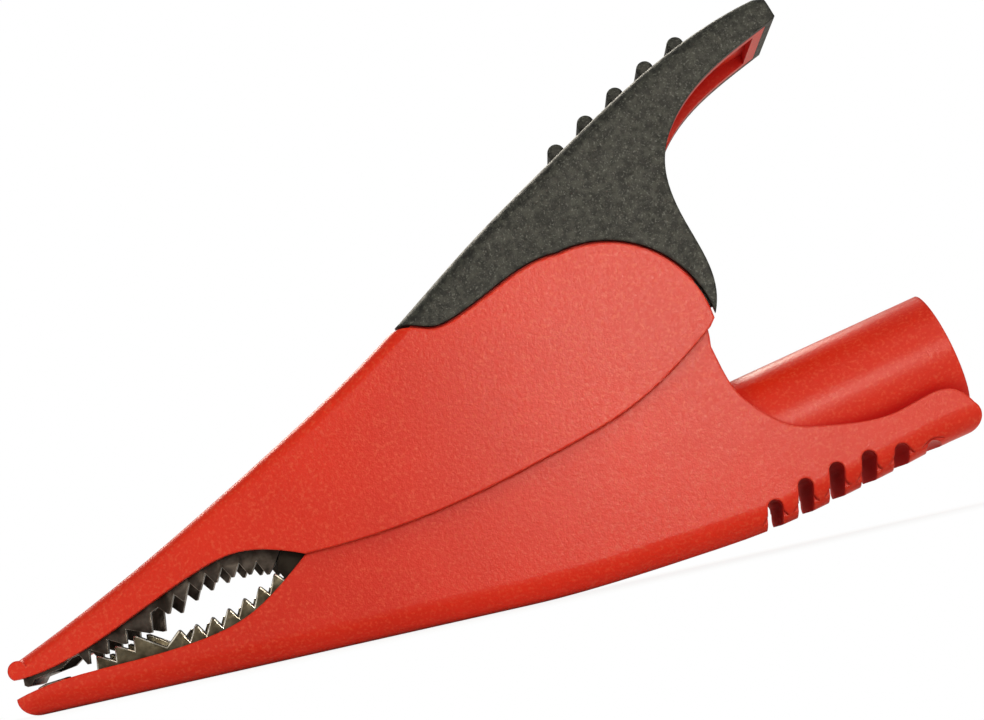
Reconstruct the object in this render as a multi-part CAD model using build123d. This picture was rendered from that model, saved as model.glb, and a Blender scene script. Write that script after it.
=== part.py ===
from build123d import *
import os
from math import asin, atan2, cos, degrees, hypot, radians, sin, tan

# Insulated crocodile clip for test leads, in millimetres.
# It is modelled round its hinge axis: x runs back towards the socket, y across, z up from the
# line that the lower jaw rests on. The exported pieces are moved so that the origin is the
# bottom centre of the closed clip.

# Overall layout
JAW_LENGTH = 62.5          # hinge axis forward to the tips
PIVOT_HEIGHT = 21.5        # hinge axis above the resting line
MOUTH_REACH = 32.05        # hinge axis back to the centre of the socket's mouth
MOUTH_HEIGHT = 15.2        # centre of the mouth above the resting line
TUBE_TILT = 12.0           # degrees that the socket points upwards
UPPER_NOSE = 1.0           # upper jaw's front, behind the tips
LOWER_NOSE = 2.2           # lower jaw's front, behind the tips

# Housing
BODY_HALF = 6.35           # half width at the hinge
BODY_TIP_HALF = 4.2        # half width at the tips
BODY_WALL = 1.1
BODY_FLOOR = 1.2
BOTTOM_RADIUS = 2.5        # rounding of the two long bottom edges
CHEEK_RADIUS = 9.8         # round top of each cheek, about the hinge
TAPER_REACH = 4.5          # the sides run parallel from this far in front of the hinge
CHEEK_WALL = 2.0           # the space between the cheeks opens this far behind their round edge

# Socket
TUBE_RADIUS = 6.0
SHROUD_BORE = 4.6          # radius of the tube's bore
SHROUD_DEPTH = 17.0
COLLAR_RADIUS = 3.3        # insulating collar round the contact
COLLAR_RECESS = 1.5
CONTACT_BORE = 2.0
CONTACT_RADIUS = 2.6
CONTACT_RECESS = 3.5       # contact's mouth below the tube's mouth
CONTACT_DEPTH = 15.0       # depth of the contact's bore
CONTACT_BASE = 1.0         # solid end of the contact behind its bore
CONTACT_SLIP = 0.03        # radial clearance of the contact in the housing
BACK_WALL = 4.6            # wall between the contact's shoulder and the hollow body
SPIGOT_RADIUS = 1.5
SPIGOT_HEAD = 2.1
SPIGOT_HEAD_LENGTH = 0.7

# Finger grooves under the keel
GROOVE_COUNT = 6
GROOVE_PITCH = 3.23
GROOVE_WIDTH = 1.5
GROOVE_FLARE = 0.3         # the grooves widen by this at the housing's sides
GROOVE_LEAN = 8.7          # degrees that a groove leans forward towards its mouth
GROOVE_FIRST = -19.9       # first groove, from the mouth's centre
GROOVE_TOP = -7.9          # highest groove roof, from the mouth's centre
GROOVE_ARC = 25.6          # the roofs follow an arc of this radius
GROOVE_CREST = -8.6        # where that arc is highest, from the mouth's centre

# Lever and grip
RUNNING_GAP = 0.3          # between the lever's cheeks and the housing's
CLEAR_ANGLE = 28.0         # the lever is hollow beside the housing up to this slope behind the hinge
LEVER_WALL = 1.0
LEVER_TIP_HALF = 4.5
HANDLE_END_HALF = 6.3
HANDLE_TAPER = 5.5         # the handle narrows from this far behind the hinge
HANDLE_REACH = 22.9        # hinge axis back to the handle's end
SHROUD_WALL = 1.2          # side walls of the upper jaw's shroud
ROOF = 1.3                 # roof of the lever shell
CORE_WALL = 1.25           # red channel under the grip
GRIP_THICKNESS = 1.0
GRIP_JOINT = 0.3           # open joint between grip and cheek
CHEEK_ARC = 10.6           # edge between red cheek and grip, about the hinge
TOP_RADIUS = 1.4           # rounding of the long top edges
RIB_COUNT = 5
RIB_RADIUS = 0.85
RIB_RISE = 0.45            # rib's centre above the grip
RIB_HALF_LENGTH = 4.6
RIB_FIRST = -0.2           # first rib, behind the hinge
RIB_PITCH = 3.42           # measured along x

# Jaws
SHEET = 0.8
FIT = 0.1                  # between a jaw and the shell that holds it
UPPER_EAR_HALF = 4.25      # the upper jaw's ears turn inside the lower jaw's
UPPER_TAPER_REACH = 38.5
EAR_RADIUS = 4.0
TOOTH_DEPTH = 1.25
FRONT_TEETH = 3
FRONT_PITCH = 1.95
FRONT_RISE = 0.55
REAR_TEETH = 7
REAR_PITCH = 1.68
TAIL_HALF = 3.2

# Hinge and spring
PIN_RADIUS = 1.5
PIN_RUNNING = 0.05         # radial clearance where a part turns on the pin
WIRE_RADIUS = 0.5
COIL_RADIUS = 2.9
COIL_TURNS = 4
COIL_PITCH = 1.15

NOSE_RISE = 0.2            # slope of the keel where it ends
LEVER_HALF = BODY_HALF + RUNNING_GAP + LEVER_WALL
REAR = MOUTH_REACH + TUBE_RADIUS * sin(radians(TUBE_TILT))
SHOULDER = CONTACT_RECESS + CONTACT_DEPTH + CONTACT_BASE
WALL_END = SHOULDER + BACK_WALL
BEYOND = 60.0              # cutters reach this far past the piece
TOUCH = 0.02               # points nearer than this to a line lie on it


def tip(x, z):
    """A point measured back from the tips and up from the resting line."""
    return (x - JAW_LENGTH, z)


def piv(x, z):
    """A point measured from the hinge axis."""
    return (x, PIVOT_HEIGHT + z)


def mouth(x, z):
    """A point measured from the centre of the socket's mouth."""
    return (MOUTH_REACH + x, MOUTH_HEIGHT + z)


def handle(x, z):
    """A point measured back from the handle's end, and up from the hinge axis."""
    return piv(HANDLE_REACH + x, z)


def tube(inward, up):
    """A point measured along the tube from its mouth, and square to it."""
    t = radians(TUBE_TILT)
    x = MOUTH_REACH - inward * cos(t) - up * sin(t)
    return (x, MOUTH_HEIGHT - inward * sin(t) + up * cos(t))


def about_pivot(radius, angle):
    """A point on a circle round the hinge."""
    return piv(radius * cos(radians(angle)), radius * sin(radians(angle)))


def inset(points, distance):
    """The same line of points, moved square to itself: to the right of its direction."""
    moved = []
    last = len(points) - 1
    for i, (x, z) in enumerate(points):
        ahead = points[min(i + 1, last)]
        behind = points[max(i - 1, 0)]
        run = hypot(ahead[0] - behind[0], ahead[1] - behind[1])
        along = ((ahead[0] - behind[0]) / run, (ahead[1] - behind[1]) / run)
        moved.append((x + along[1] * distance, z - along[0] * distance))
    return moved


def on_line(line, x):
    """The point of a line at the given x, found by halving."""
    low, high = 0.0, 1.0
    for _ in range(30):
        half = (low + high) / 2
        if line.position_at(half).X < x:
            low = half
        else:
            high = half
    point = line.position_at(low)
    return point.X, point.Y


def slab(edges, half_width):
    """A side outline, extruded to both sides of the middle plane."""
    face = Face(Wire([single for edge in edges for single in edge.edges()]))
    return extrude(Plane.XZ * face, amount=half_width, both=True)


def plan(tip_half, full_half, end_half=None, taper=-TAPER_REACH):
    """A tall solid with the plan of the clip: narrow tips, and a handle that may narrow too."""
    end_half = full_half if end_half is None else end_half
    front = -JAW_LENGTH
    back = MOUTH_REACH + TUBE_RADIUS
    right = TangentArc((taper, -full_half), (front, -tip_half), tangent=(-1, 0))
    left = TangentArc((taper, full_half), (front, tip_half), tangent=(-1, 0))
    if end_half == full_half:
        rear_right = Line((HANDLE_TAPER, -full_half), (back, -full_half))
        rear_left = Line((HANDLE_TAPER, full_half), (back, full_half))
    else:
        rear_right = TangentArc((HANDLE_TAPER, -full_half), (back, -end_half), tangent=(1, 0))
        rear_left = TangentArc((HANDLE_TAPER, full_half), (back, end_half), tangent=(1, 0))
    edges = [right, Line((taper, -full_half), (HANDLE_TAPER, -full_half)), rear_right,
             Line((back, -end_half), (back, end_half)), rear_left,
             Line((HANDLE_TAPER, full_half), (taper, full_half)), left,
             Line((front, tip_half), (front, -tip_half))]
    return extrude(Face(Wire(edges)), amount=BEYOND, both=True)


def round_bar(a, b, radius):
    """A round bar from one point to another."""
    start, stop = Vector(*a), Vector(*b)
    axis = stop - start
    return Plane(origin=start, z_dir=axis) * Cylinder(
        radius, axis.length, align=(Align.CENTER, Align.CENTER, Align.MIN))


def cross_pin(point, radius, half_length):
    """A round bar across the clip, centred on the middle plane."""
    return round_bar((point[0], -half_length, point[1]), (point[0], half_length, point[1]), radius)


def tube_bar(start, stop, radius):
    """A round bar along the socket's axis, between two depths below the mouth."""
    a, b = tube(start, 0), tube(stop, 0)
    return round_bar((a[0], 0, a[1]), (b[0], 0, b[1]), radius)


# Lines that more than one piece follows

TOP_LINE = [tip(1.0, 5.55), tip(13.0, 11.05), tip(27.0, 18.55), piv(-21.05, 5.8),
            piv(-10.5, 13.45), piv(-1.5, 19.3), piv(8.15, 25.2), handle(-7.6, 28.7), handle(-1.8, 30.6)]
EYE_REAR = tip(30.3, 9.4)
UPPER_LIP = [EYE_REAR, tip(27.0, 10.55), tip(23.8, 10.95), tip(20.0, 10.1), tip(13.5, 7.5),
             tip(7.9, 5.25), tip(3.2, 4.0), tip(0.5, 3.75)]
LOWER_LIP = [tip(0.3, 1.95), tip(5.0, 2.85), tip(10.6, 3.1), tip(18.9, 3.65), tip(23.5, 4.8),
             tip(27.1, 6.9), EYE_REAR]
SEAM = [piv(10.0, 0.4), piv(7.6, -1.4), piv(1.9, -4.95), piv(-6.5, -7.9), piv(-17.8, -10.7), EYE_REAR]
SKIRT = [handle(-0.1, 28.2), handle(-4.9, 25.9), piv(12.4, 22.0), piv(9.4, 16.9), piv(9.9, 10.9),
         piv(11.35, 5.0), about_pivot(CHEEK_ARC, 6)]
BOTTOM_LINE = [(-12.5, 0.0), (-3.5, 0.4), (MOUTH_REACH / 6, 1.2), mouth(-21.55, -13.4), mouth(-11.55, -11.25),
               mouth(-6.55, -10.0), mouth(-2.55, -8.95), mouth(-0.1, -8.45)]
GRIP_EDGE = [about_pivot(CHEEK_ARC, 104), piv(-8.2, 8.8), piv(-13.4, 6.45), piv(-15.8, 6.0),
             piv(-17.2, 6.4), piv(-20.6, 6.1)]


def upper_tooth_line(x):
    """Height of the upper jaw's rear tooth tips, x measured from the tips."""
    return 8.8 - 0.0445 * (x - 22.9) ** 2


def lower_tooth_line(x):
    """Height of the lower jaw's rear tooth tips."""
    return 5.0 + 0.0255 * (x - 15.5) ** 2


def lever_outline():
    """Edges of the lever's side outline."""
    end_top, end_low = handle(-0.6, 30.2), handle(0, 28.35)
    return [ThreePointArc(tip(0.5, 3.75), tip(0.0, 4.5), TOP_LINE[0]), Spline(TOP_LINE),
            Polyline([TOP_LINE[-1], end_top, end_low, SKIRT[0]]), Spline(SKIRT),
            Line(SKIRT[-1], SEAM[0]), Spline(SEAM), Spline(UPPER_LIP)]


def beside(solid, lines):
    """Edges where a long top or bottom, drawn by these lines, meets the two sides."""
    picked = []
    for edge in solid.edges():
        middle = edge.position_at(0.5)
        on_drawing = Vertex(middle.X, middle.Z, 0)
        if abs(middle.Y) > BODY_TIP_HALF / 2 and abs(edge.tangent_at(0.5).Y) < 0.5:
            if min(line.distance_to(on_drawing) for line in lines) < TOUCH:
                picked.append(edge)
    return picked


def grip_region(joint):
    """Everything above the edge between the red cheek and the grip."""
    arc_end = about_pivot(CHEEK_ARC + joint, 6)
    arc_start = about_pivot(CHEEK_ARC + joint, 104)
    edge = [arc_start] + inset(GRIP_EDGE, joint)[1:]
    far = (BEYOND, PIVOT_HEIGHT + BEYOND)
    return slab([Polyline([edge[-1], (edge[-1][0] - 4, far[1]), far, (far[0], arc_end[1]), arc_end]),
                 ThreePointArc(arc_end, about_pivot(CHEEK_ARC + joint, 55), arc_start),
                 Spline(edge)], BEYOND)


def below(line, end):
    """Everything under a line, from its first point back to the given x."""
    front, rear = line[0], line[-1]
    return slab([Spline(line), Polyline([rear, (end, rear[1]), (end, -BEYOND), (front[0], -BEYOND), front])],
                BEYOND)


def inside_handle(depth):
    """What lies deeper than this under the handle's top, its sides and its end."""
    line = inset(TOP_LINE, depth)[2:]
    end = HANDLE_REACH - depth
    line = [point for point in line if point[0] < end - 1] + [on_line(Spline(line), end)]
    return below(line, end + TOUCH) & plan(
        LEVER_TIP_HALF - depth, LEVER_HALF - depth, HANDLE_END_HALF - depth)


def cheek_sweep():
    """Where the housing's cheeks stand inside the lever, at rest and while it opens."""
    radius = CHEEK_RADIUS + RUNNING_GAP
    disc = cross_pin(piv(0, 0), radius, BEYOND)
    front = EYE_REAR[0] - 1.5
    wedge = slab([Polyline([about_pivot(radius, 128), (front, EYE_REAR[1] + 0.4), (front, -BEYOND),
                            (BEYOND, -BEYOND), (BEYOND, PIVOT_HEIGHT + BEYOND * tan(radians(CLEAR_ANGLE))),
                            piv(0, 0), about_pivot(radius, 128)])], BEYOND)
    return (disc + wedge) & plan(BODY_TIP_HALF + RUNNING_GAP, BODY_HALF + RUNNING_GAP)


def lever_form():
    """The lever's outer form as one block, its long top edges rounded."""
    block = slab(lever_outline(), BEYOND) & plan(LEVER_TIP_HALF, LEVER_HALF, HANDLE_END_HALF)
    return fillet(beside(block, [Spline(TOP_LINE)]), TOP_RADIUS)


def lever_shell(form):
    """Red upper shell: jaw shroud and cheeks outside, and the channel that the grip covers."""
    shell = (form - grip_region(0)) + (form & inside_handle(GRIP_THICKNESS))
    roof = [tip(UPPER_NOSE - FIT, 4.35)] + inset(TOP_LINE, ROOF)[1:4]
    shroud = below(roof, roof[-1][0] + 2) & plan(LEVER_TIP_HALF - SHROUD_WALL, LEVER_HALF - SHROUD_WALL)
    return shell - shroud - inside_handle(GRIP_THICKNESS + CORE_WALL) - cheek_sweep()


def thumb_grip(form):
    """Black cap that wraps the handle, with five ribs across its back."""
    core = inside_handle(GRIP_THICKNESS)
    grip = (form & grip_region(GRIP_JOINT)) - core
    line = Spline(TOP_LINE)
    for i in range(RIB_COUNT):
        x, z = on_line(line, RIB_FIRST + i * RIB_PITCH)
        centre = (x - RIB_RISE / 2, z + RIB_RISE)
        rib = cross_pin(centre, RIB_RADIUS, RIB_HALF_LENGTH)
        grip += chamfer(rib.edges().filter_by(GeomType.CIRCLE), RIB_RADIUS / 3) - core
    return grip


def housing_form():
    """The lower housing as one block: a rounded keel, cut to the side outline."""
    front, end = (-BEYOND - BEYOND, 0.0), BOTTOM_LINE[-1]
    rear = (end[0] + TUBE_RADIUS, end[1] + TUBE_RADIUS * NOSE_RISE)
    bottom = [Line(front, BOTTOM_LINE[0]), Spline(BOTTOM_LINE, tangents=[(1, 0), (1, NOSE_RISE)]),
              Line(end, rear)]
    above = Polyline([rear, (rear[0], BEYOND), (front[0], BEYOND), front])
    keel = slab(bottom + [above], BEYOND) & plan(BODY_TIP_HALF, BODY_HALF)
    keel = fillet(beside(keel, bottom), BOTTOM_RADIUS)
    nose_top = mouth(0.7, -5.7)
    rear_top = about_pivot(CHEEK_RADIUS, -8)
    front_top = about_pivot(CHEEK_RADIUS, 126)
    lip_end = (EYE_REAR[0] + 0.8, EYE_REAR[1] + 0.8)
    side = [TangentArc(tip(2.0, 0.0), LOWER_LIP[0], tangent=(-1, 0)),
            Polyline([tip(2.0, 0.0), tip(2.0, -5.0), (end[0], -5.0), end]),
            TangentArc(end, nose_top, tangent=(1, NOSE_RISE)),
            Spline([nose_top, mouth(-1.15, -4.0), mouth(-6.35, -4.95), mouth(-13.15, -4.85),
                    mouth(-16.75, -4.0), mouth(-19.25, -2.0), piv(11.0, -5.9), piv(10.35, -4.1), rear_top]),
            ThreePointArc(rear_top, about_pivot(CHEEK_RADIUS, 60), front_top),
            Line(front_top, lip_end), Line(lip_end, EYE_REAR), Spline(LOWER_LIP[::-1])]
    return keel & slab(side, BEYOND)


def groove(index):
    """One finger groove under the keel: a slot with a round roof, flared at both sides."""
    x = GROOVE_FIRST + index * GROOVE_PITCH
    roof = GROOVE_TOP - (GROOVE_ARC - (GROOVE_ARC ** 2 - (x - GROOVE_CREST) ** 2) ** 0.5)
    half = GROOVE_WIDTH / 2
    lean = radians(GROOVE_LEAN)
    down = Vector(-sin(lean), -cos(lean))
    across = Vector(cos(lean), -sin(lean)) * half
    centre = Vector(*mouth(x, roof - half))
    right, left = centre + across, centre - across
    depth = down * 10 * half
    edges = [ThreePointArc(left, centre - down * half, right),
             Polyline([right, right + depth, left + depth, left])]
    face = Plane.XZ * Face(Wire([single for edge in edges for single in edge.edges()]))
    slot = extrude(face, amount=BEYOND, both=True)
    for side in (1, -1):
        flare = extrude(face, amount=side * 2 * GROOVE_FLARE, taper=-45)
        slot += Pos(0, -side * (BODY_HALF - GROOVE_FLARE), 0) * flare
    return slot


def body_housing():
    """Red lower housing: jaw shroud, hinge cheeks, grooved keel and socket tube in one moulding."""
    block = housing_form() + tube_bar(0, WALL_END, TUBE_RADIUS)
    hollow_half = plan(BODY_TIP_HALF - BODY_WALL, BODY_HALF - BODY_WALL)
    floor = inset(BOTTOM_LINE, -BODY_FLOOR)[:3]
    low_wall = tube(WALL_END, -7.6)
    high_wall = tube(WALL_END, 9.0)
    nose = LOWER_NOSE - FIT
    hollow = slab([Polyline([tip(nose, BEYOND), tip(nose, BODY_FLOOR), floor[0]]), Spline(floor),
                   Polyline([floor[-1], low_wall, high_wall, (CHEEK_RADIUS + CHEEK_WALL, high_wall[1]),
                             (CHEEK_RADIUS + CHEEK_WALL, BEYOND), tip(nose, BEYOND)])], BEYOND)
    block -= hollow & hollow_half
    for i in range(GROOVE_COUNT):
        block -= groove(i)
    shroud = tube_bar(-BEYOND, SHROUD_DEPTH, SHROUD_BORE)
    shroud -= tube_bar(COLLAR_RECESS, BEYOND, COLLAR_RADIUS)
    block -= shroud
    block -= tube_bar(-BEYOND, SHOULDER, CONTACT_RADIUS + CONTACT_SLIP)
    block -= tube_bar(-BEYOND, WALL_END + SHEET, SPIGOT_RADIUS + CONTACT_SLIP)
    return block - cross_pin(piv(0, 0), PIN_RADIUS, BEYOND)


def lower_teeth():
    """Points along the lower jaw's edge: wire notch, three ratchet teeth, then the regular row."""
    points = [tip(LOWER_NOSE, 2.6), tip(3.0, 2.85), tip(5.4, 3.05), tip(5.9, 2.5)]
    for i in range(FRONT_TEETH):
        x, z = 8.2 + i * FRONT_PITCH, 4.35 + i * FRONT_RISE
        points += [tip(x, z - 1.35), tip(x + 0.15, z), tip(x + 0.45, z)]
    points.append(tip(15.25, 3.75))
    for j in range(REAR_TEETH):
        x = 16.75 + j * REAR_PITCH
        points += [tip(x - 0.1, lower_tooth_line(x)), tip(x + 0.1, lower_tooth_line(x))]
        valley = x + REAR_PITCH / 2
        points.append(tip(valley, lower_tooth_line(valley) - TOOTH_DEPTH))
    return points


def upper_teeth():
    """Points along the upper jaw's edge, from its nose back to the last tooth."""
    points = [tip(UPPER_NOSE, 4.25), tip(UPPER_NOSE, 3.1), tip(1.3, 2.9), tip(1.7, 2.95), tip(2.1, 3.5), tip(4.9, 3.95),
              tip(5.9, 4.65), tip(6.8, 4.85)]
    for i in range(FRONT_TEETH):
        x, z = 7.7 + i * FRONT_PITCH, 3.75 + i * FRONT_RISE
        points += [tip(x - 0.25, z), tip(x, z), tip(x + 0.15, z + 1.35)]
    points += [tip(13.9, 5.35), tip(14.2, 5.35), tip(14.4, 7.25), tip(15.2, 7.6)]
    for j in range(REAR_TEETH):
        x = 16.1 + j * REAR_PITCH
        points += [tip(x - 0.1, upper_tooth_line(x)), tip(x + 0.1, upper_tooth_line(x))]
        valley = x + REAR_PITCH / 2
        points.append(tip(valley, upper_tooth_line(valley) + TOOTH_DEPTH))
    return points[:-1]


def lower_jaw():
    """Nickel-plated lower jaw: a channel open upwards, its ears outside, and a tail to the socket."""
    teeth = lower_teeth()
    bed = BODY_FLOOR + FIT
    rim = [teeth[-1], tip(30.0, 8.3), piv(-20.0, -7.5), about_pivot(EAR_RADIUS, 130)]
    side = slab([Polyline(teeth), Polyline(rim),
                 ThreePointArc(rim[-1], about_pivot(EAR_RADIUS, 20), about_pivot(EAR_RADIUS, -70)),
                 Polyline([about_pivot(EAR_RADIUS, -70), (BOTTOM_LINE[0][0], bed), tip(LOWER_NOSE, bed),
                           teeth[0]])],
                BEYOND)
    outer = plan(BODY_TIP_HALF - BODY_WALL - FIT, BODY_HALF - BODY_WALL - FIT)
    inner = plan(BODY_TIP_HALF - BODY_WALL - FIT - SHEET, BODY_HALF - BODY_WALL - FIT - SHEET)
    channel = slab([Polyline([tip(3.0, bed + SHEET), tip(3.0, BEYOND), (BEYOND, BEYOND),
                              (BEYOND, bed + SHEET), tip(3.0, bed + SHEET)])], BEYOND)
    jaw = (side & outer) - (channel & inner)
    bed_line = inset(BOTTOM_LINE, -bed)[:3]
    top_line = inset(BOTTOM_LINE, -bed - SHEET)[:3]
    foot, tab = tube(WALL_END + FIT, -7.4), tube(WALL_END + FIT, SPIGOT_HEAD + 1.2)
    foot_in, tab_in = tube(WALL_END + FIT + SHEET, -6.6), tube(WALL_END + FIT + SHEET, SPIGOT_HEAD + 1.2)
    start = (BOTTOM_LINE[0][0] - 2, bed)
    tail = slab([Line(start, bed_line[0]), Spline(bed_line), Polyline([bed_line[-1], foot, tab, tab_in,
                 foot_in, top_line[-1]]), Spline(top_line[::-1]),
                 Polyline([top_line[0], (start[0], bed + SHEET), start])], TAIL_HALF)
    tail -= tube_bar(0, BEYOND, SPIGOT_RADIUS + CONTACT_SLIP)
    return jaw + tail - cross_pin(piv(0, 0), PIN_RADIUS, BEYOND)


def upper_jaw():
    """Nickel-plated upper jaw: a channel open downwards, with arms back to its ears."""
    teeth = upper_teeth()
    crown = [teeth[0]] + inset(TOP_LINE, ROOF + FIT)[1:4]
    under = [tip(3.4, 4.5)] + inset(TOP_LINE, ROOF + FIT + SHEET)[1:4]
    side = slab([Polyline(teeth), ThreePointArc(teeth[-1], tip(27.2, 9.4), tip(28.3, 11.6)),
                 Polyline([tip(28.3, 11.6), tip(31.0, 14.0), about_pivot(EAR_RADIUS, 240)]),
                 ThreePointArc(about_pivot(EAR_RADIUS, 240), piv(EAR_RADIUS, 0), about_pivot(EAR_RADIUS, 95)),
                 Line(about_pivot(EAR_RADIUS, 95), crown[-1]), Spline(crown[::-1])], BEYOND)
    tip_half = BODY_TIP_HALF - BODY_WALL - FIT
    outer = plan(tip_half, UPPER_EAR_HALF, taper=-UPPER_TAPER_REACH)
    inner = plan(tip_half - SHEET, UPPER_EAR_HALF - SHEET, taper=-UPPER_TAPER_REACH)
    web_end = under[-1]
    channel = slab([Spline(under), Polyline([web_end, (web_end[0], BEYOND), (BEYOND, BEYOND),
                    (BEYOND, -BEYOND), (under[0][0], -BEYOND), under[0]])], BEYOND)
    jaw = (side & outer) - (channel & inner)
    return jaw - cross_pin(piv(0, 0), PIN_RADIUS + PIN_RUNNING, BEYOND)


def hinge_pin():
    """Steel pin through both jaws' ears and the housing's cheeks, flush with the cheeks."""
    return cross_pin(piv(0, 0), PIN_RADIUS, BODY_HALF)


def socket_contact():
    """Turned brass sleeve with a riveted spigot."""
    rivet = WALL_END + FIT + SHEET
    contact = tube_bar(CONTACT_RECESS, SHOULDER, CONTACT_RADIUS)
    contact += tube_bar(SHOULDER, rivet, SPIGOT_RADIUS)
    contact += tube_bar(rivet, rivet + SPIGOT_HEAD_LENGTH, SPIGOT_HEAD)
    return contact - tube_bar(0, CONTACT_RECESS + CONTACT_DEPTH, CONTACT_BORE)


def leg_angle(target, turn):
    """Angle on the coil where a leg leaves it in a straight line for a target point."""
    x, z = target[0], target[1] - PIVOT_HEIGHT
    return degrees(atan2(z, x)) + turn * (90 - degrees(asin(COIL_RADIUS / hypot(x, z))))


def torsion_spring():
    """Spring wire: a coil round the hinge pin, one leg to the jaw's tail and one to the handle."""
    seat = WALL_END + FIT + SHEET * 0.75
    low = tube(seat, SPIGOT_HEAD + 1.2 + WIRE_RADIUS + FIT)
    roof = inset(TOP_LINE, GRIP_THICKNESS + CORE_WALL + WIRE_RADIUS + FIT)
    high = roof[6]
    start, stop = leg_angle(low, -1), leg_angle(high, 1)
    turns = COIL_TURNS + ((start - stop) % 360) / 360
    length = turns * COIL_PITCH
    base = Plane(origin=(0, -length / 2, PIVOT_HEIGHT), z_dir=(0, 1, 0),
                 x_dir=(cos(radians(start)), 0, sin(radians(start))))
    coil = base * Helix(pitch=COIL_PITCH, height=length, radius=COIL_RADIUS)
    section = Plane(origin=coil.position_at(0), z_dir=coil.tangent_at(0)) * RegularPolygon(WIRE_RADIUS, 10)
    spring = sweep(section, path=coil, is_frenet=True)
    for end, target in ((coil.position_at(0), low), (coil.position_at(1), high)):
        spring += round_bar((end.X, end.Y, end.Z), (target[0], end.Y, target[1]), WIRE_RADIUS)
        spring += Pos(target[0], end.Y, target[1]) * Sphere(WIRE_RADIUS)
        spring += Pos(end.X, end.Y, end.Z) * Sphere(WIRE_RADIUS)
    return spring


FORM = lever_form()

PIECES = {
    "body_housing": body_housing(),
    "lever_shell": lever_shell(FORM),
    "thumb_grip": thumb_grip(FORM),
    "lower_jaw": lower_jaw(),
    "upper_jaw": upper_jaw(),
    "hinge_pin": hinge_pin(),
    "torsion_spring": torsion_spring(),
    "socket_contact": socket_contact(),
}

os.makedirs("parts", exist_ok=True)
for name, piece in PIECES.items():
    export_step(Pos((JAW_LENGTH - REAR) / 2, 0, 0) * piece, "parts/" + name + ".step")
    print(name, len(piece.solids()), round(piece.volume, 2))
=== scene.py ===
# %% [markdown]
# # A crocodile clip for test leads
# The clip is two red mouldings that turn on a hidden pin, a black cap over the handle, and two toothed
# jaws of nickel-plated sheet between them. The CAD model gives every piece its shape and place. This
# script loads it as a fixed frame, and adds what a drawing lacks: the grain of the moulds, the plating
# on the teeth, soft daylight and a camera.

# %% Load the frame
from math import radians

import bmesh
import bpy
from mathutils import Matrix, Vector


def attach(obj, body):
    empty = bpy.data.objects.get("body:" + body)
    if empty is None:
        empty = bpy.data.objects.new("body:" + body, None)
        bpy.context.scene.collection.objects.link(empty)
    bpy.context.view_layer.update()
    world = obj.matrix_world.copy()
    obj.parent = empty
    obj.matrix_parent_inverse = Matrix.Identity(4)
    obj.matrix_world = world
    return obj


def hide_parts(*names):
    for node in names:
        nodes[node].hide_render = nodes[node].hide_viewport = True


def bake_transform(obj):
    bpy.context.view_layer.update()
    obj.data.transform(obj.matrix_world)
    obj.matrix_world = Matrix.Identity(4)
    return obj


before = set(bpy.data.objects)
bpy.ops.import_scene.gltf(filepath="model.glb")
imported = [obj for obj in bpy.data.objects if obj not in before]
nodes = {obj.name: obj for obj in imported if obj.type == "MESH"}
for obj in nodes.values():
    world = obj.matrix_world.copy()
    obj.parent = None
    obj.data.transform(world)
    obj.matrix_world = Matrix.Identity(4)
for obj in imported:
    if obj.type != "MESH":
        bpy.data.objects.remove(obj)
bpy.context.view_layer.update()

MM = 0.001
print("CAD nodes:", ", ".join(sorted(nodes)))

# %% [markdown]
# ## The camera
# The photograph was taken from close by, square to the clip's side but a little below it, with the
# clip held at a slant. A long lens at 21 cm gives the same slight perspective. The camera is rolled
# instead of the clip, so that the clip keeps the frame's upright place on the floor.

# %% Camera
camera_data = bpy.data.cameras.new("camera")
camera_data.lens = 78.507
camera_data.sensor_width = 36.0
camera_data.clip_start = 0.005
camera = bpy.data.objects.new("camera", camera_data)
camera.location = (0.004006, -0.209738, 0.001136)
camera.rotation_euler = (radians(96.424), radians(12.623), radians(1.500))
bpy.context.collection.objects.link(camera)
bpy.context.scene.camera = camera
print("camera stands", round(camera.location.length * 1000), "mm from the middle of the clip's base")

# %% [markdown]
# ## A shorthand for shader maths
# A material's grain and stains are sums of noises, and a sum is easier to read as a line of maths than
# as a dozen nodes. This class wraps the output of a node. Adding or multiplying it puts the Math node
# in by itself, and `node` adds any other kind.

# %% Shader maths
class Signal:
    """One output socket of a material's node tree, with arithmetic."""

    def __init__(self, tree, socket):
        self.tree, self.socket = tree, socket

    def node(self, kind, settings=None, **inputs):
        """Adds a node, sets its properties and then its sockets; returns its first output."""
        made = self.tree.nodes.new(kind)
        for name, value in (settings or {}).items():
            if name == "stops":
                band = made.color_ramp.elements
                while len(band) > 1:
                    band.remove(band[-1])
                for i, (place, colour) in enumerate(value):
                    stop = band[0] if i == 0 else band.new(place)
                    stop.position, stop.color = place, colour
            else:
                setattr(made, name, value)
        for name, value in inputs.items():
            socket = made.inputs[int(name[1:]) if name[1:].isdigit() else name.replace("_", " ")]
            if isinstance(value, Signal):
                self.tree.links.new(value.socket, socket)
            else:
                socket.default_value = value
        shown = [out for out in made.outputs if out.enabled]
        return Signal(self.tree, shown[0])

    def maths(self, operation, other):
        """This signal and another one, or a number, put through a Math node."""
        return self.node("ShaderNodeMath", {"operation": operation}, _0=self, _1=other)

    def __add__(self, other):
        return self.maths("ADD", other)

    def __mul__(self, other):
        return self.maths("MULTIPLY", other)

    def part(self, name):
        """Another output of the same node."""
        return Signal(self.tree, self.socket.node.outputs[name])


# %% [markdown]
# ## Helpers for materials
# Every material here is one Principled shader. Its constants are typed straight into its sockets, and
# what varies over the surface is a signal that `feed` links. All noises start from the object
# coordinates, which are metres in the clip's own frame, so a scale of 2600 gives pits about 0.4 mm
# apart on every piece alike.

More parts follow.
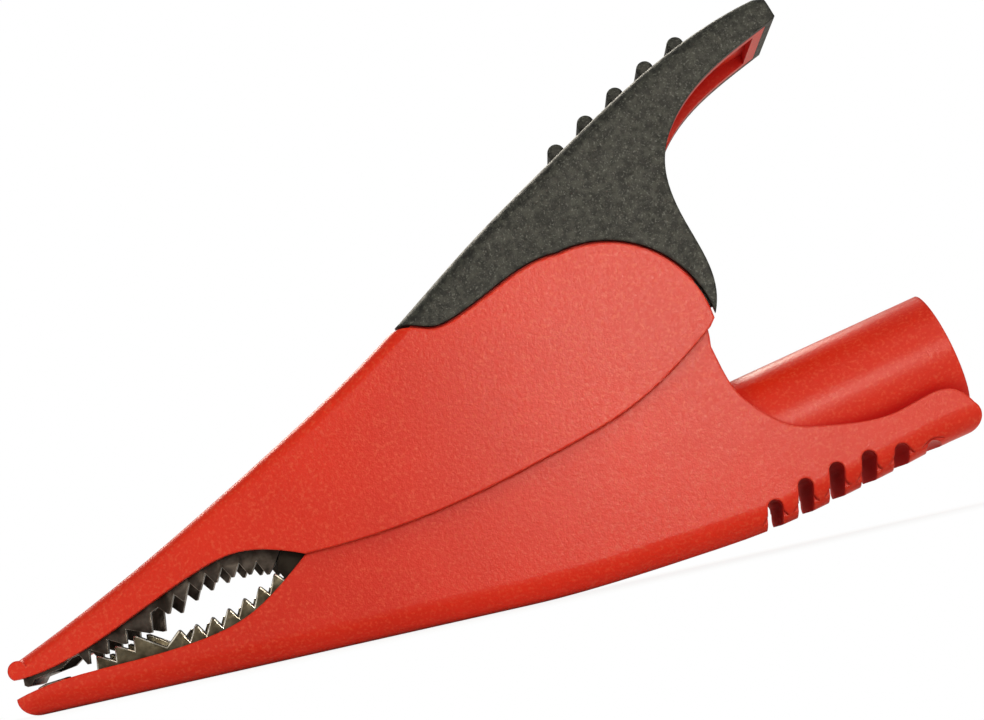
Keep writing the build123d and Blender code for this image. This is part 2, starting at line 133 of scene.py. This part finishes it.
# %% Material helpers
def new_material(name, **constants):
    """A principled material; returns it, its shader node and its object coordinates."""
    material = bpy.data.materials.new(name)
    material.use_nodes = True
    tree = material.node_tree
    shader = tree.nodes["Principled BSDF"]
    for socket, value in constants.items():
        shader.inputs[socket.replace("_", " ")].default_value = value
    start = tree.nodes.new("ShaderNodeTexCoord")
    return material, shader, Signal(tree, start.outputs["Object"])


def feed(signal, shader, socket):
    """Links a signal to one of the shader's sockets."""
    signal.tree.links.new(signal.socket, shader.inputs[socket])


def noise(place, scale, detail=2.0, roughness=0.5):
    """Cloudy values from 0 to 1; scale is blobs per metre."""
    return place.node("ShaderNodeTexNoise", {}, Vector=place, Scale=scale, Detail=detail, Roughness=roughness)


def ramp(value, *stops):
    """Turns a value into another one, or a colour, between stops."""
    full = [(at, (c, c, c, 1) if isinstance(c, float) else (*c, 1)) for at, c in stops]
    return value.node("ShaderNodeValToRGB", {"stops": full}, Fac=value)


def mix(factor, a, b):
    """Two colours mixed by a factor."""
    a, b = ((*c, 1) if isinstance(c, tuple) else c for c in (a, b))
    return factor.node("ShaderNodeMix", {"data_type": "RGBA"}, _0=factor, _6=a, _7=b)


def openness(place, reach, local=True):
    """Near 1 in the open, near 0 in a hollow narrower than the reach; local asks its own piece alone."""
    finder = place.node("ShaderNodeAmbientOcclusion", {"samples": 8, "only_local": local}, Distance=reach)
    return finder.part("AO")


def grained(place, shader, height, depth, strength, edge):
    """Bumps a shader's surface by a height signal, and rounds the look of its edges by a radius."""
    soft_edge = place.node("ShaderNodeBevel", {"samples": 6}, Radius=edge)
    bump = place.node("ShaderNodeBump", {}, Strength=strength, Distance=depth, Height=height,
                      Normal=soft_edge)
    feed(bump, shader, "Normal")


def paint(node, *materials):
    """Gives a CAD node's object these materials; the first covers it, a bevel may use the next."""
    mesh = nodes[node].data
    mesh.materials.clear()
    for material in materials:
        mesh.materials.append(material)
    print(node, "is", ", ".join(material.name for material in materials))


# %% [markdown]
# ## Red moulding
# Housing and lever are the same red plastic, moulded in a spark-eroded tool. The tool leaves a grain of
# shallow pits about 0.4 mm apart, which breaks the gloss into fine pale specks. The grain is a bump
# from two noises, and the roughness follows it a little. Pale specks in the colour are partly the
# grain's own tone and partly painted glints. A Bevel node rounds the look of the sharp edges, as a
# moulded edge is never quite sharp. An Ambient Occlusion node finds where the surface is walled in,
# as in the keel's grooves. There the colour is painted a deeper, darker red as painted shade, standing
# in for light bounced from red to red. The surface there also turns matt, or it would mirror the pale
# sky at a glancing angle.

# %% Red plastic
red, shader, place = new_material("red_moulding", IOR=1.48, Specular_IOR_Level=0.42)
pits = noise(place, 2600.0, 3.0, 0.6) * 0.6 + noise(place, 6500.0, 2.0) * 0.4
cloud = noise(place, 60.0, 3.0)
speck = noise(place, 3200.0, 2.0)
outside = openness(place, 5 * MM)
colour = mix(ramp(cloud, (0.35, 0.0), (0.65, 1.0)), (0.70, 0.020, 0.002), (0.78, 0.026, 0.004))
# Pale specks: partly the grain's own paler tone, partly painted glints of the gloss.
colour = mix(ramp(speck, (0.50, 0.0), (0.72, 0.45)), colour, (0.84, 0.120, 0.050))
# Painted shade: where the surface is walled in, the colour turns a deeper, darker red.
colour = mix(ramp(outside, (0.3, 0.0), (0.85, 1.0)), (0.58, 0.006, 0.004), colour)
feed(colour, shader, "Base Color")
feed(ramp(pits, (0.3, 0.27), (0.7, 0.42)) + ramp(outside, (0.3, 0.6), (0.8, 0.0)), shader, "Roughness")
grained(place, shader, pits, depth=0.036 * MM, strength=1.0, edge=0.3 * MM)
for name in ("body_housing", "lever_shell"):
    paint(name, red)

# %% [markdown]
# ## Black grip
# The cap over the handle is a softer matt black with a much coarser grain. Greyer patches, nearly a
# millimetre across, and small pale specks show where it has been scuffed.

# %% Black plastic
black, shader, place = new_material("black_grip", IOR=1.48, Specular_IOR_Level=0.42)
grain = noise(place, 1500.0, 4.0, 0.65)
mottle = ramp(noise(place, 1200.0, 5.0, 0.72), (0.42, 0.0), (0.60, 1.0))
specks = ramp(noise(place, 5200.0, 2.0), (0.58, 0.0), (0.70, 1.0))
colour = mix(mottle, (0.011, 0.012, 0.010), (0.050, 0.053, 0.044))
colour = mix(specks * 0.45, colour, (0.22, 0.23, 0.21))
# Painted shade: the black goes darker still where the surface is walled in.
colour = mix(ramp(openness(place, 4 * MM), (0.2, 0.0), (0.8, 1.0)), (0.004, 0.004, 0.004), colour)
feed(colour, shader, "Base Color")
feed(ramp(grain, (0.3, 0.45), (0.7, 0.65)), shader, "Roughness")
grained(place, shader, grain, depth=0.09 * MM, strength=0.9, edge=0.4 * MM)
paint("thumb_grip", black)

# %% [markdown]
# ## Plated jaws
# The jaws are stamped steel under nickel. Their faces are a dull olive grey, stained where the plating
# is thin, and the press has coined a bright round edge along every tooth. The CAD jaws keep their
# shape: a Weld and a Bevel modifier round the edges, and the bevel's faces take the second material.
# The upper jaw hangs in its own shade, so its plating is drawn darker.

# %% Nickel
def plating(name, clean, stained, low, high):
    """A worn metal: two colours by stain, painted shade where walled in, and a roughness between two levels.
    """
    material, shader, place = new_material(name, Metallic=1.0)
    stain = ramp(noise(place, 700.0, 4.0), (0.38, 0.0), (0.62, 1.0))
    # Painted shade: near black where this piece or another one walls the surface in.
    walled = ramp(openness(place, 3 * MM, local=False), (0.1, 0.0), (0.7, 1.0))
    feed(mix(walled, (0.012, 0.010, 0.008), mix(stain, clean, stained)), shader, "Base Color")
    feed(ramp(noise(place, 2500.0, 3.0), (0.3, low), (0.7, high)), shader, "Roughness")
    return material


nickel_face = plating("nickel_face", (0.20, 0.175, 0.12), (0.085, 0.07, 0.045), 0.30, 0.45)
nickel_rim = plating("nickel_rim", (0.92, 0.90, 0.84), (0.62, 0.56, 0.46), 0.18, 0.32)
nickel_dark = plating("nickel_dark", (0.10, 0.085, 0.075), (0.035, 0.028, 0.024), 0.28, 0.42)
nickel_dark_rim = plating("nickel_dark_rim", (0.42, 0.38, 0.34), (0.12, 0.10, 0.085), 0.2, 0.35)

# %% [markdown]
# ## Coined edges
# The Weld joins the faces' doubled corners first, because a bevel only follows edges that two faces
# share. The lower jaw's teeth are so close that clamping against overlap would leave no bevel at all.

# %% Jaw edges
jaws = {"lower_jaw": (nickel_face, nickel_rim, 0.17 * MM, False),
        "upper_jaw": (nickel_dark, nickel_dark_rim, 0.12 * MM, True)}
for name, (face, rim, width, clamped) in jaws.items():
    paint(name, face, rim)
    weld = nodes[name].modifiers.new("weld", "WELD")
    weld.merge_threshold = 0.002 * MM
    bevel = nodes[name].modifiers.new("coined_edge", "BEVEL")
    bevel.width = width
    bevel.segments = 2
    bevel.limit_method = "ANGLE"
    bevel.angle_limit = radians(35)
    bevel.material = 1
    bevel.use_clamp_overlap = clamped

# %% [markdown]
# ## The lower jaw's ears
# Behind the last tooth the lower jaw's sides rise as two round ears, which close the rear corner of the
# opening from view. They are short cylinders set into the jaw's walls, and ride with the body.

# %% Ears
EAR_X, EAR_Y, EAR_Z = -18.9 * MM, 4.15 * MM, 8.8 * MM
EAR_RADIUS, EAR_THICKNESS = 1.72 * MM, 0.66 * MM


def piece(name, shape, material):
    """Makes an object of a bmesh, in its place without a turn or scale."""
    mesh = bpy.data.meshes.new(name)
    shape.to_mesh(mesh)
    shape.free()
    mesh.materials.append(material)
    made = bpy.data.objects.new(name, mesh)
    bpy.context.collection.objects.link(made)
    print(name, "has", len(mesh.polygons), "faces of", material.name)
    return made


# Painted shade: the ears' plating is drawn near black, for the shade they sit in behind the lips.
shaded_nickel = plating("shaded_nickel", (0.03, 0.025, 0.02), (0.015, 0.012, 0.01), 0.3, 0.45)
shape = bmesh.new()
for side in (-1, 1):
    turn = Matrix.Translation((EAR_X, side * EAR_Y, EAR_Z)) @ Matrix.Rotation(radians(90), 4, "X")
    bmesh.ops.create_cone(shape, cap_ends=True, segments=48, radius1=EAR_RADIUS, radius2=EAR_RADIUS,
                          depth=EAR_THICKNESS, matrix=turn)
ears = piece("jaw_ears", shape, shaded_nickel)
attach(ears, "body")

# %% [markdown]
# ## The grip's rebate
# Under the open joint between cheek and grip the black cap steps inwards, so that no light passes the
# joint. It is drawn as a thin strip on each side. One short straight edge is spun about the hinge, and
# the band it sweeps is extruded outwards to give it a thickness.

# %% Rebate
hinge = Vector((14.601, 0.0, 21.5)) * MM
STRIP_RADII = (10.2 * MM, 11.05 * MM)
STRIP_Y, STRIP_THICKNESS = 6.42 * MM, 0.2 * MM
STRIP_START, STRIP_SWEEP = radians(12), radians(72)

shape = bmesh.new()
for side in (-1, 1):
    direction = Vector((1.0, 0.0, 0.0))
    direction.rotate(Matrix.Rotation(-STRIP_START, 3, "Y"))
    inner = hinge + Vector((0.0, side * STRIP_Y, 0.0))
    ends = [shape.verts.new(inner + direction * radius) for radius in STRIP_RADII]
    edge = shape.edges.new(ends)
    bmesh.ops.spin(shape, geom=[*ends, edge], cent=hinge, axis=(0, -1, 0), angle=STRIP_SWEEP, steps=40)
    faces = [face for face in shape.faces if face.calc_center_median().y * side > 0]
    thick = bmesh.ops.extrude_face_region(shape, geom=faces)
    bmesh.ops.translate(shape, vec=(0, side * STRIP_THICKNESS, 0),
                        verts=[item for item in thick["geom"] if isinstance(item, bmesh.types.BMVert)])
bmesh.ops.recalc_face_normals(shape, faces=shape.faces[:])
rebate = piece("grip_rebate", shape, black)
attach(rebate, "lever")

# %% [markdown]
# ## Pin, spring and contact
# These lie inside and are seen only when the clip opens or from the socket's end: ground steel, a
# little uneven in its gloss, and turned brass.

# %% Steel and brass
steel = plating("ground_steel", (0.55, 0.55, 0.54), (0.42, 0.42, 0.41), 0.22, 0.38)
brass = plating("turned_brass", (0.80, 0.62, 0.32), (0.70, 0.50, 0.22), 0.18, 0.34)
paint("hinge_pin", steel)
paint("socket_contact", brass)

# %% [markdown]
# ## The spring
# One leg of the spring rests on the lower jaw's tail and the other under the handle, so it can't ride
# with one body alone. A welded copy of its mesh, moved into place, stands in for the CAD node, which
# is hidden.

# %% Spring
shape = bmesh.new()
shape.from_mesh(nodes["torsion_spring"].data)
shape.transform(nodes["torsion_spring"].matrix_world)
bmesh.ops.remove_doubles(shape, verts=shape.verts[:], dist=0.001 * MM)
spring = piece("wound_spring", shape, steel)
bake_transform(spring)
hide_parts("torsion_spring")

# %% [markdown]
# ## The floor
# The photograph is on pure white. The floor is white paper, and the camera sees most of it replaced by
# an even white. Under the clip a little of the paper stays, and with it the clip's own soft shadow.
# From 4 to 8 cm out the even white takes over, so that the far edge leaves no line.

# %% Floor
FLOOR_HALF = 1.2
SHADOW_END, PAPER_END = 0.04, 0.08

paper, shader, place = new_material("white_paper", Roughness=0.9, Specular_IOR_Level=0.0)
fibre = noise(place, 150.0, 3.0)
feed(ramp(fibre, (0.3, (0.88, 0.88, 0.88)), (0.7, (0.92, 0.92, 0.92))), shader, "Base Color")
seen = place.node("ShaderNodeLightPath").part("Is Camera Ray")
away = place.node("ShaderNodeVectorMath", {"operation": "LENGTH"}, _0=place).part("Value")
even = place.node("ShaderNodeEmission", {}, Strength=1.0)
cover = ramp(away, (SHADOW_END, 0.86), (PAPER_END, 1.0)) * seen
blend = place.node("ShaderNodeMixShader", {}, _0=cover)
tree = paper.node_tree
tree.links.new(shader.outputs[0], blend.socket.node.inputs[1])
tree.links.new(even.socket, blend.socket.node.inputs[2])
tree.links.new(blend.socket, tree.nodes["Material Output"].inputs["Surface"])

shape = bmesh.new()
bmesh.ops.create_grid(shape, x_segments=1, y_segments=1, size=FLOOR_HALF)
floor = piece("floor", shape, paper)

# %% [markdown]
# ## The sky
# The world is white where the camera sees it, also through clear pieces, and dim for everything else.
# A bright world would wash out the red with its reflection.

# %% Sky
SKY = 0.22

world = bpy.data.worlds.new("white_sky")
bpy.context.scene.world = world
world.use_nodes = True
sky = world.node_tree.nodes["Background"]
path = world.node_tree.nodes.new("ShaderNodeLightPath")
looked_at = Signal(world.node_tree, path.outputs["Is Camera Ray"])
shown = looked_at.maths("MAXIMUM", looked_at.part("Is Transmission Ray"))
feed(shown * (1.0 - SKY) + SKY, sky, "Strength")
sky.inputs["Color"].default_value = (1, 1, 1, 1)

# %% [markdown]
# ## The lamps
# All four are soft and a little warm. The key is a large panel above and to the right. A small one near
# the camera stands where the flat side mirrors it, and puts the speckled sheen on the right of the
# lever. A weak one fills the left, and a strip from behind draws the pale line along the upper edges.

# %% Lamps
DAYLIGHT = (1.0, 0.92, 0.78)


def panel(name, place, aim, width, height, power):
    """A soft rectangular lamp, turned to face a point."""
    data = bpy.data.lights.new(name, "AREA")
    data.shape, data.size, data.size_y, data.energy = "RECTANGLE", width, height, power
    data.color = DAYLIGHT
    lamp = bpy.data.objects.new(name, data)
    lamp.location = place
    lamp.rotation_euler = (Vector(aim) - Vector(place)).to_track_quat("-Z", "Y").to_euler()
    bpy.context.collection.objects.link(lamp)
    print(name, "gives", power, "W")


panel("key", (0.25, -0.30, 0.40), (0.0, 0.0, 0.02), 0.30, 0.30, 0.75)
panel("sheen", (0.05, -0.33, 0.066), (0.015, 0.0, 0.025), 0.07, 0.07, 0.34)
panel("fill", (-0.35, -0.35, 0.15), (0.0, 0.0, 0.02), 0.25, 0.25, 0.15)
panel("rim", (-0.10, 0.30, 0.30), (0.0, 0.0, 0.02), 0.30, 0.10, 1.2)
bpy.context.scene.view_settings.view_transform = "Standard"
